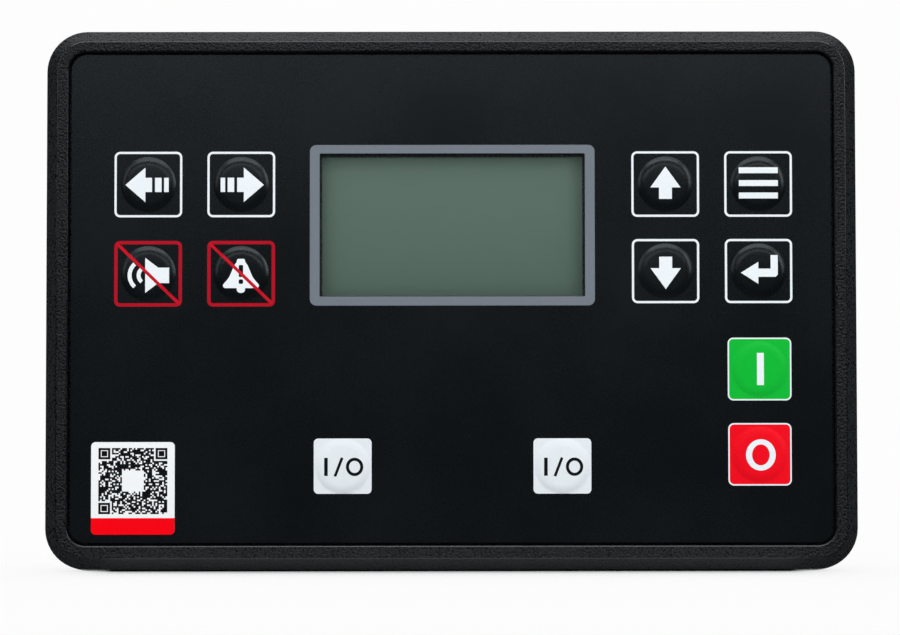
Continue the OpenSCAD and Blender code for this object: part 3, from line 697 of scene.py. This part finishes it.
def bell() -> list[Loop]:
    """Give the bell with a warning mark cut out of it.

    Returns:
        Its outlines about the key's centre.
    """
    left = arc(-0.5, 2.95, 0.43, 0.4, 90, 180, 4) + [(-0.98, 2.62), (-1.5, 1.9), (-1.9, 1.0), (-2.27, 0.1)]
    left += [(-2.66, -0.78), (-3.3, -1.66)] + arc(-3.54, -2.75, 0.56, 0.58, 125, 270, 8) + [(-0.95, -3.33)]
    half = left + arc(0.0, -3.75, 0.93, 0.68, 180, 270, 6)
    outline = half + [(-x, z) for x, z in reversed(half)]
    mark = rounded(0.0, 0.57, 1.0, 2.75, 0.22, 4)
    dot = rounded(0.0, -1.86, 1.02, 1.06, 0.34, 4)
    return [outline, mark, dot]


def start_bar() -> list[Loop]:
    """Give the upright bar of the start sign."""
    return [rectangle(-0.65, -3.68, 0.92, 3.66)]


def stop_ring() -> list[Loop]:
    """Give the ring of the stop sign."""
    cx, cz = 0.13, -0.14
    return [ellipse(cx, cz, 3.37, 3.55), ellipse(cx, cz, 2.0, 2.38)]


def breaker_sign() -> list[Loop]:
    """Give the bar, stroke and ring of a breaker key.

    Returns:
        Its outlines about the key's centre.
    """
    middle, half, ring_x, line, steps = -0.17, 2.05, 2.73, 0.7, 48
    ring = [ellipse(ring_x, middle, 1.97 - i, 2.08 - i, steps) for i in (0.0, line)]
    bar = rectangle(-4.18, middle - half, -3.37, middle + half)
    return [bar, band((-1.73, -2.32), (-0.1, 1.9), 0.62)] + ring


SIGNS: dict[Legend, list[Loop]] = {
    Legend.BACK: bar_arrow(),
    Legend.FORWARD: flipped(bar_arrow(), True),
    Legend.HORN: horn(),
    Legend.BELL: bell(),
    Legend.UP: plain_arrow(),
    Legend.DOWN: moved(flipped(plain_arrow(), False), 0.0, -0.2),
    Legend.MENU: menu_bars(),
    Legend.ENTER: return_arrow(),
    Legend.START: start_bar(),
    Legend.STOP: stop_ring(),
    Legend.BREAKER: breaker_sign(),
}


@dataclass(frozen=True)
class KeyStyle:
    """How one kind of key is printed.

    Attributes:
        width: Width of the printed square.
        height: Height of the printed square.
        line: Width of its border, or 0 with none.
        border: Ink of the border.
        ground: Ink inside the border, or None where the film stays black.
        sign: Ink of the sign.
        strike: Ink of the line across the key, or None with no line.
        radius: Radius of the square's corners.
        strike_w: Width of the line across the key.
        strike_inset: Distance of that line's ends from the square's sides.
    """

    width: float = 15.45
    height: float = 15.0
    line: float = 0.5
    border: Finish = WHITE_INK
    ground: Optional[Finish] = None
    sign: Finish = WHITE_INK
    strike: Optional[Finish] = None
    radius: float = 1.3
    strike_w: float = 0.72
    strike_inset: float = 0.62


PLAIN_KEY = KeyStyle()
LOW_KEY = KeyStyle(width=15.35, height=14.65)
MUTE_KEY = KeyStyle(line=0.78, border=RED_LINE_INK, strike=RED_STRIKE_INK)
START_KEY = KeyStyle(14.5, 14.3, 0.32, WHITE_INK, GREEN_INK)
STOP_KEY = KeyStyle(14.4, 14.2, 0.32, WHITE_INK, RED_INK)
BREAKER_KEY = KeyStyle(13.15, 12.56, 0.0, BREAKER_INK, BREAKER_INK, DARK_INK, radius=1.0)

KEYS: dict[str, tuple[Legend, KeyStyle]] = {
    "prev": (Legend.BACK, PLAIN_KEY),
    "next": (Legend.FORWARD, PLAIN_KEY),
    "horn": (Legend.HORN, MUTE_KEY),
    "fault": (Legend.BELL, MUTE_KEY),
    "up": (Legend.UP, PLAIN_KEY),
    "menu": (Legend.MENU, PLAIN_KEY),
    "down": (Legend.DOWN, LOW_KEY),
    "enter": (Legend.ENTER, LOW_KEY),
    "start": (Legend.START, START_KEY),
    "stop": (Legend.STOP, STOP_KEY),
    "breaker_a": (Legend.BREAKER, BREAKER_KEY),
    "breaker_b": (Legend.BREAKER, BREAKER_KEY),
}


@dataclass
class Overlay:
    """The polyester overlay: a flat sheet, twelve embossed domes and the print on them."""

    film_t: float = 0.25
    dome_r: float = 6.3
    shoulder: float = 1.9
    crown: float = 0.25
    travel: float = 0.35
    pane_lap: float = 1.0
    ink_t: float = 0.03
    ink_sink: float = 0.02
    cell: float = 0.34
    segments: int = 96
    least_segments: int = 12
    corner_r: float = 3.45
    window_r: float = 0.25
    window_steps: int = 3
    least_key_r: float = 0.3
    frame_w: float = 65.0
    frame_h: float = 36.75
    frame_r: float = 1.5
    frame_drop: float = 0.06
    frame_t: float = 0.14
    frame_edge: float = 0.12
    frame_edge_steps: int = 2

    def __post_init__(self) -> None:
        """Read the levels and places from the frame."""
        film_low, film_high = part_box("overlay_film")
        self.level = -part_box("guide_label")[1].y / MM
        self.dome_h = -film_low.y / MM - self.level
        self.width = (film_high.x - film_low.x) / MM
        self.height = (film_high.z - film_low.z) / MM
        self.rise = (film_high.z + film_low.z) / 2 / MM
        pane_low, pane_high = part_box("display_window")
        middle = (pane_low + pane_high) / 2 / MM
        self.window = (middle.x, middle.z, (pane_high.x - pane_low.x) / MM - 2 * self.pane_lap,
                       (pane_high.z - pane_low.z) / MM - 2 * self.pane_lap)
        self.places = {name: self.key_place(name) for name in KEYS}

    def key_place(self, name: str) -> Point:
        """Give the centre of a key in the panel's plane."""
        low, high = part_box("key_" + name)
        return (low.x + high.x) / 2 / MM, (low.z + high.z) / 2 / MM

    def dome(self, r: float) -> float:
        """Give a dome's height over the sheet: steep at its foot, easing into a low crown.

        Args:
            r: Distance from the dome's centre.

        Returns:
            The height, which is none outside the dome.
        """
        if r >= self.dome_r:
            return 0.0
        s = min(1.0, (self.dome_r - r) / self.shoulder)
        rise = (1 - self.crown) * s * (2 - s)
        return self.dome_h * (rise + self.crown * (1 - (r / self.dome_r) ** 2))

    def over(self, place: Point) -> Height:
        """Give the height function of the dome at a place."""
        return lambda x, z: self.dome(math.hypot(x - place[0], z - place[1]))

    def build(self) -> None:
        """Make the sheet, the domes and all the print."""
        self.sheet()
        for name, place in self.places.items():
            self.dome_cap(name, place)
            self.key_print(name)
        self.window_frame()

    def sheet(self) -> None:
        """Make the flat sheet with round holes for the domes and the window's cut-out."""
        loops = [rounded(0, self.rise, self.width, self.height, self.corner_r), self.window_loop()]
        loops += [ellipse(x, z, self.dome_r, self.dome_r, self.segments) for x, z in self.places.values()]
        made = Sheet("overlay_sheet", loops, self.level - self.film_t, self.level, OVERLAY_FILM).build()
        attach(made, ROOT)
        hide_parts("overlay_film")
        LOG.info("overlay sheet with %d dome places", len(self.places))

    def window_loop(self) -> Loop:
        """Give the outline of the window's cut-out."""
        return rounded(*self.window, self.window_r, self.window_steps)

    def press(self, piece: bpy.types.Object) -> None:
        """Attach a piece on a dome to the controller's body and give it a mesh of its own.

        Args:
            piece: The dome or a print on it.
        """
        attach(piece, ROOT)
        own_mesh(piece)

    def dome_cap(self, name: str, place: Point) -> None:
        """Make one dome of the film.

        Args:
            name: The key's name.
            place: The key's centre.
        """
        x, z = place
        rings = math.ceil(self.dome_r / self.cell)
        fill = [(x, z)]
        for i in range(1, rings):
            r = self.dome_r * i / rings
            fill += ellipse(x, z, r, r, max(self.least_segments, round(self.segments * i / rings)))
        loop = ellipse(x, z, self.dome_r, self.dome_r, self.segments)
        made = Sheet("dome_" + name, [loop], self.level - self.film_t, self.level, OVERLAY_FILM,
                     self.over(place), 0.0, fill).build()
        self.press(made)

    def ink(self, name: str, key: str, loops: list[Loop], finish: Finish, layer: int) -> None:
        """Print outlines on a key's dome and the film round it.

        Args:
            name: The print's name.
            key: The key's name.
            loops: Outlines about the key's centre.
            finish: The ink.
            layer: How many prints lie under it.
        """
        place = self.places[key]
        high = self.level + self.ink_t * (layer + 1)
        made = Sheet(f"print_{name}_{key}", moved(loops, *place), self.level - self.ink_sink, high, finish,
                     self.over(place), self.cell).build()
        self.press(made)

    def key_print(self, name: str) -> None:
        """Print one key: its square, its sign and any line across it.

        Args:
            name: The key's name.
        """
        legend, style = KEYS[name]
        w, h, line = style.width, style.height, style.line
        outer = rounded(0, 0, w, h, style.radius)
        inner = rounded(0, 0, w - 2 * line, h - 2 * line, max(self.least_key_r, style.radius - line))
        layer = 0
        if line:
            self.ink("border", name, [outer, inner], style.border, layer)
        if style.ground:
            self.ink("field", name, [inner], style.ground, layer)
            layer = 1
        self.ink("sign", name, SIGNS[legend], style.sign, layer)
        if style.strike:
            x, z = w / 2 - style.strike_inset, h / 2 - style.strike_inset
            self.ink("strike", name, [band((-x, z), (x, -z), style.strike_w)], style.strike, layer + 1)
        LOG.info("key %s printed with %s", name, legend.value)

    def window_frame(self) -> None:
        """Print the grey frame round the window."""
        x, z = self.window[:2]
        loops = [rounded(x, z - self.frame_drop, self.frame_w, self.frame_h, self.frame_r),
                 self.window_loop()]
        made = Sheet("print_window_frame", loops, self.level - self.ink_sink, self.level + self.frame_t,
                     GREY_INK).build()
        edge = made.modifiers.new("edge", "BEVEL")
        edge.width, edge.segments = self.frame_edge * MM, self.frame_edge_steps
        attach(made, ROOT)
        LOG.info("window frame printed")


@dataclass
class GuideLabel:
    """The self-adhesive label: white vinyl, a made-up code block and a red strip."""

    node: bpy.types.Object
    strip_h: float = 3.75
    code_w: float = 15.65
    code_h: float = 15.0
    code_rise: float = 1.66
    bare: float = 4.2
    modules: int = 41
    finder: int = 7
    finder_line: float = 1.35
    finder_core: float = 3.3
    radius: float = 1.0
    corner_steps: int = 8
    ink_t: float = 0.02
    seed: int = 7
    share: float = 0.7
    seam: float = 0.005

    def __post_init__(self) -> None:
        """Read the label's place from the frame."""
        low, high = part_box("guide_label")
        self.low, self.high = low / MM, high / MM
        self.face = -self.low.y
        self.middle = (self.low + self.high) / 2
        self.cell_w, self.cell_h = self.code_w / self.modules, self.code_h / self.modules

    def build(self) -> None:
        """Dress the label and print on it."""
        dress(self.node, LABEL_VINYL)
        self.printed("strip", [self.strip()], LABEL_RED)
        self.printed("code", self.code(), LABEL_BLACK)
        LOG.info("label with %d by %d code places", self.modules, self.modules)

    def printed(self, name: str, loops: list[Loop], finish: Finish) -> None:
        """Lay one print on the label.

        Args:
            name: The print's name.
            loops: Its outlines.
            finish: Its ink.
        """
        low, high = self.face - self.ink_t / 2, self.face + self.ink_t
        made = Sheet("label_" + name, loops, low, high, finish).build()
        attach(made, ROOT)

    def strip(self) -> Loop:
        """Give the strip along the foot, with the label's own round corners.

        Returns:
            The strip's outline.
        """
        x0, x1, z0, r, steps = self.low.x, self.high.x, self.low.z, self.radius, self.corner_steps
        top = z0 + self.strip_h
        foot = arc(x0 + r, z0 + r, r, r, 180, 270, steps) + arc(x1 - r, z0 + r, r, r, 270, 360, steps)
        return [(x1, top), (x0, top)] + foot

    def cells(self, row: float, column: float, tall: float, wide: float) -> Loop:
        """Give the outline of a block of the code's cells.

        Args:
            row: Its upper edge, in cells from the top.
            column: Its left edge, in cells from the left.
            tall: Its height in cells.
            wide: Its width in cells.

        Returns:
            The block's rectangle on the label.
        """
        x = self.middle.x - self.code_w / 2 + column * self.cell_w
        z = self.middle.z + self.code_rise + self.code_h / 2 - row * self.cell_h
        return rectangle(x, z - tall * self.cell_h, x + wide * self.cell_w, z)

    def corner_square(self, row: int, column: int) -> list[Loop]:
        """Give a corner square of the code: a ring with a core in it.

        Args:
            row: Its first row.
            column: Its first column.

        Returns:
            The ring's two outlines and the core's.
        """
        insets = (0.0, self.finder_line, (self.finder - self.finder_core) / 2)
        return [self.cells(row + i, column + i, self.finder - 2 * i, self.finder - 2 * i) for i in insets]

    def code(self) -> list[Loop]:
        """Give the code block: three corner squares, a bare middle and seeded chance, with no meaning.

        Returns:
            The outlines of its dark places.
        """
        draw = random.Random(self.seed)
        n, last = self.modules, self.modules - self.finder
        dark = [[draw.random() < self.share for _column in range(n)] for _row in range(n)]
        loops = []
        gap = round(self.bare / self.cell_w / 2)
        clear_of(dark, n // 2 - gap, n // 2 - gap, 2 * gap + 1)
        for row, column in ((0, 0), (0, last), (last, 0)):
            clear_of(dark, row - 1, column - 1, self.finder + 2)
            loops += self.corner_square(row, column)
        for r, row in enumerate(dark):
            c = 0
            while c < n:
                run = c
                while run < n and row[run]:
                    run += 1
                if run > c:
                    loops.append(self.cells(r + self.seam, c, 1 - self.seam, run - c))
                c = max(run, c + 1)
        return loops


def clear_of(dark: list[list[bool]], row: int, column: int, count: int) -> None:
    """Leave a square of a code's cells bare.

    Args:
        dark: The cells, by row and column.
        row: First row of the square, which may lie outside.
        column: First column of the square, which may lie outside.
        count: Cells along its side.
    """
    for r in range(max(0, row), min(len(dark), row + count)):
        for c in range(max(0, column), min(len(dark), column + count)):
            dark[r][c] = False


def dress(node: bpy.types.Object, finish: Finish) -> None:
    """Give a CAD node its finish.

    Args:
        node: The node's object.
        finish: The material that it gets in every slot.
    """
    if not node.material_slots:
        node.data.materials.append(finish.material())
    for held in node.material_slots:
        held.material = finish.material()


@dataclass
class Carried:
    """The CAD nodes that show as they are, each with the finish of the real piece."""

    nodes: dict[str, bpy.types.Object]
    finishes: dict[str, Finish] = field(default_factory=lambda: {
        "front_bezel": SPARKED_ABS,
        "overlay_film": OVERLAY_FILM,
        "display_window": CLEAR_ACRYLIC,
        "lcd_glass": DISPLAY_CELL,
        "lcd_frame": BLACKED_STEEL,
        "lcd_backlight": WHITE_ACRYLIC,
        "lcd_spacers": NATURAL_NYLON,
        "gasket": FOAM_RUBBER,
        "rear_housing": PLAIN_ABS,
        "module_cover_": PLAIN_ABS,
        "key_": BLACK_NYLON,
        "plunger_": BLACK_NYLON,
        "switch_bodies": BLACK_NYLON,
        "lcd_header": BLACK_NYLON,
        "link_": BLACK_NYLON,
        "cell_holder": BLACK_NYLON,
        "usb_tongue": BLACK_NYLON,
        "coin_cell": PLATED_STEEL,
        "usb_shell": PLATED_STEEL,
        "board_screws": PLATED_STEEL,
        "housing_screws": PLATED_STEEL,
        "terminal_screws": PLATED_STEEL,
        "board_standoffs": TINNED_BRASS,
        "header_pins": TINNED_BRASS,
        "header_": DARK_GREEN_NYLON,
        "plug_": GREEN_NYLON,
        "lcd_board": SOLDER_MASK,
        "front_board": SOLDER_MASK,
        "main_board": SOLDER_MASK,
    })

    def build(self) -> None:
        """Dress each node by its own name or by what its name starts with."""
        for name, node in self.nodes.items():
            match = [key for key in self.finishes if name.startswith(key)]
            if match:
                finish = self.finishes[max(match, key=len)]
                dress(node, finish)
                LOG.info("%s dressed in %s", name, finish.name)


@dataclass(frozen=True)
class Softbox:
    """A lamp that looks at the part's middle: its place, its width and height, and its power."""

    name: str
    place: tuple[float, float, float]
    size: tuple[float, float]
    watts: float

    def hang(self, tint: str) -> None:
        """Put the lamp in the scene.

        Args:
            tint: The colour of its light.
        """
        data = bpy.data.lights.new(self.name, "AREA")
        data.shape = "RECTANGLE"
        data.size, data.size_y = (side * MM for side in self.size)
        data.energy = self.watts
        data.color = linear(tint)[:3]
        made = bpy.data.objects.new(self.name, data)
        made.location = Vector(self.place) * MM
        made.rotation_euler = (-made.location).to_track_quat("-Z", "Y").to_euler()
        bpy.context.scene.collection.objects.link(made)


# The long lamps above and ahead streak the rim, and the ones at the sides and behind lift its edges
LAMPS = (
    Softbox("softbox_front", (0.0, -700.0, 800.0), (1100.0, 220.0), 1.9),
    Softbox("softbox_left", (-738.0, -653.0, 392.0), (200.0, 650.0), 0.48),
    Softbox("softbox_right", (738.0, -653.0, 392.0), (200.0, 650.0), 1.1),
    Softbox("softbox_top", (0.0, -350.0, 850.0), (1200.0, 300.0), 1.8),
    Softbox("strip_front", (0.0, -900.0, 300.0), (900.0, 120.0), 0.57),
    Softbox("softbox_back", (0.0, 250.0, 600.0), (900.0, 300.0), 1.05),
)


@dataclass
class Studio:
    """Floor, world, lamps and camera: a white set with softboxes above, in front and at the sides."""

    camera_back: float = 750.0
    camera_z: float = -40.13
    camera_x: float = -0.33
    pitch: float = 2.74
    roll: float = 0.057
    focal_px: float = 3300.2
    image_w: float = 900.0
    sensor: float = 36.0
    clip_m: tuple[float, float] = (0.01, 20.0)
    floor_size: float = 1400.0
    white: str = "#fdfdfd"
    paper: str = "#c8c8c8"
    # foot_half to shade_power shape painted shadow: the paper takes real shadow, and its fade into white
    # away from the foot is painted.
    foot_half: float = 74.0
    side_fade: float = 3.0
    shade_from: float = 11.0
    shade_reach: float = 10.0
    shade_power: float = 1.5
    fill_light: float = 0.8
    lamp_tint: str = "#fafcfe"
    front_glow: float = 0.004
    backdrop: tuple[float, float] = (0.45, 0.9)

    def build(self) -> None:
        """Make the whole set."""
        self.camera()
        self.floor()
        self.world()
        for lamp in LAMPS:
            lamp.hang(self.lamp_tint)
        LOG.info("studio set")

    def camera(self) -> None:
        """Place the camera where the picture was taken from."""
        data = bpy.data.cameras.new("camera")
        data.sensor_width = self.sensor
        data.lens = self.focal_px * self.sensor / self.image_w
        data.clip_start, data.clip_end = self.clip_m
        made = bpy.data.objects.new("camera", data)
        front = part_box("front_bezel")[0].y
        made.location = (self.camera_x * MM, front - self.camera_back * MM, self.camera_z * MM)
        made.rotation_euler = (math.radians(90 + self.pitch), math.radians(self.roll), 0.0)
        bpy.context.scene.collection.objects.link(made)
        bpy.context.scene.camera = made

    def floor(self) -> None:
        """Make the floor under the part: paper that keeps the part's shadow and clears to the white set with
        distance from the foot, so its darker paper round the foot is partly painted shadow.
        """
        half = self.floor_size * MM / 2
        mesh = bpy.data.meshes.new("floor")
        mesh.from_pydata([(x, y, 0.0) for x, y in rectangle(-half, -half, half, half)], [], [(0, 1, 2, 3)])
        made = bpy.data.objects.new("floor", mesh)
        made.location.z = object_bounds()[0].z
        bpy.context.scene.collection.objects.link(made)
        finish = bpy.data.materials.new("white_paper_floor")
        finish.use_nodes = True
        tree = finish.node_tree
        tree.nodes.clear()
        paper = add_node(tree, "ShaderNodeBsdfDiffuse", {"Color": linear(self.paper)})
        away = self.from_foot(tree)
        scaled = add_node(tree, "ShaderNodeMapRange", {
            "From Min": self.shade_from * MM, "From Max": (self.shade_from + self.shade_reach) * MM},
            {"Value": away}, clamp=False)
        # Share of lit paper kept at each place; its fall-off with distance from the foot is painted shadow.
        kept = scaled.outputs[0]
        steps = (("MAXIMUM", 0.0), ("POWER", self.shade_power), ("ADD", 1.0), ("POWER", -1.0))
        for operation, value in steps:
            kept = add_node(tree, "ShaderNodeMath", {1: value}, {0: kept}, operation=operation).outputs[0]
        clear = add_node(tree, "ShaderNodeBsdfTransparent")
        faded = add_node(tree, "ShaderNodeMixShader",
                         links={0: kept, 1: clear.outputs[0], 2: paper.outputs[0]})
        add_node(tree, "ShaderNodeOutputMaterial", links={"Surface": faded.outputs[0]})
        mesh.materials.append(finish)
        made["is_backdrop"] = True

    def from_foot(self, tree: bpy.types.NodeTree) -> bpy.types.NodeSocket:
        """Give a floor place's distance from the line on which the part stands.

        Args:
            tree: The floor's node tree.

        Returns:
            The distance in metres, stretched past the ends of the line.
        """
        place = add_node(tree, "ShaderNodeTexCoord").outputs["Object"]
        axes = add_node(tree, "ShaderNodeSeparateXYZ", links={0: place}).outputs
        past = add_node(tree, "ShaderNodeMath", links={0: axes[0]}, operation="ABSOLUTE").outputs[0]
        steps = (("SUBTRACT", self.foot_half * MM), ("MAXIMUM", 0.0), ("MULTIPLY", self.side_fade))
        for operation, value in steps:
            past = add_node(tree, "ShaderNodeMath", {1: value}, {0: past}, operation=operation).outputs[0]
        way = add_node(tree, "ShaderNodeCombineXYZ", links={0: past, 1: axes[1]})
        return add_node(tree, "ShaderNodeVectorMath", links={0: way.outputs[0]},
                        operation="LENGTH").outputs["Value"]

    def world(self) -> None:
        """Light the set softly from all round, with a white backdrop and a dim side behind the camera."""
        made = bpy.data.worlds.new("studio")
        bpy.context.scene.world = made
        made.use_nodes = True
        tree = made.node_tree
        tree.nodes.clear()
        rays = add_node(tree, "ShaderNodeLightPath").outputs
        way = add_node(tree, "ShaderNodeTexCoord").outputs["Generated"]
        axes = add_node(tree, "ShaderNodeSeparateXYZ", links={0: way})
        low, high = self.backdrop
        back = add_node(tree, "ShaderNodeMapRange", {
            "From Min": low, "From Max": high, "To Min": self.front_glow}, {"Value": axes.outputs[1]})
        mirrored = add_node(tree, "ShaderNodeMath", operation="MAXIMUM", links={
            0: rays["Is Glossy Ray"], 1: rays["Is Transmission Ray"]})
        lit = add_node(tree, "ShaderNodeMix", {2: self.fill_light},
                       {0: mirrored.outputs[0], 3: back.outputs[0]}, data_type="FLOAT")
        strength = add_node(tree, "ShaderNodeMix", {3: 1.0},
                            {0: rays["Is Camera Ray"], 2: lit.outputs[0]}, data_type="FLOAT")
        tint = add_node(tree, "ShaderNodeMix", {6: linear(self.lamp_tint), 7: linear(self.white)},
                        {0: rays["Is Camera Ray"]}, data_type="RGBA")
        light = add_node(tree, "ShaderNodeBackground", links={0: tint.outputs[2], 1: strength.outputs[0]})
        add_node(tree, "ShaderNodeOutputWorld", links={0: light.outputs[0]})


def main() -> None:
    """Build the set and the part's looks."""
    logging.basicConfig(level=logging.INFO, format="%(name)s: %(message)s")
    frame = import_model()
    bpy.context.scene.view_settings.view_transform = "Standard"
    Studio().build()
    Carried(frame["nodes"]).build()
    Overlay().build()
    GuideLabel(frame["nodes"]["guide_label"]).build()
    LOG.info("sizes written")


if __name__ == "__main__":
    main()
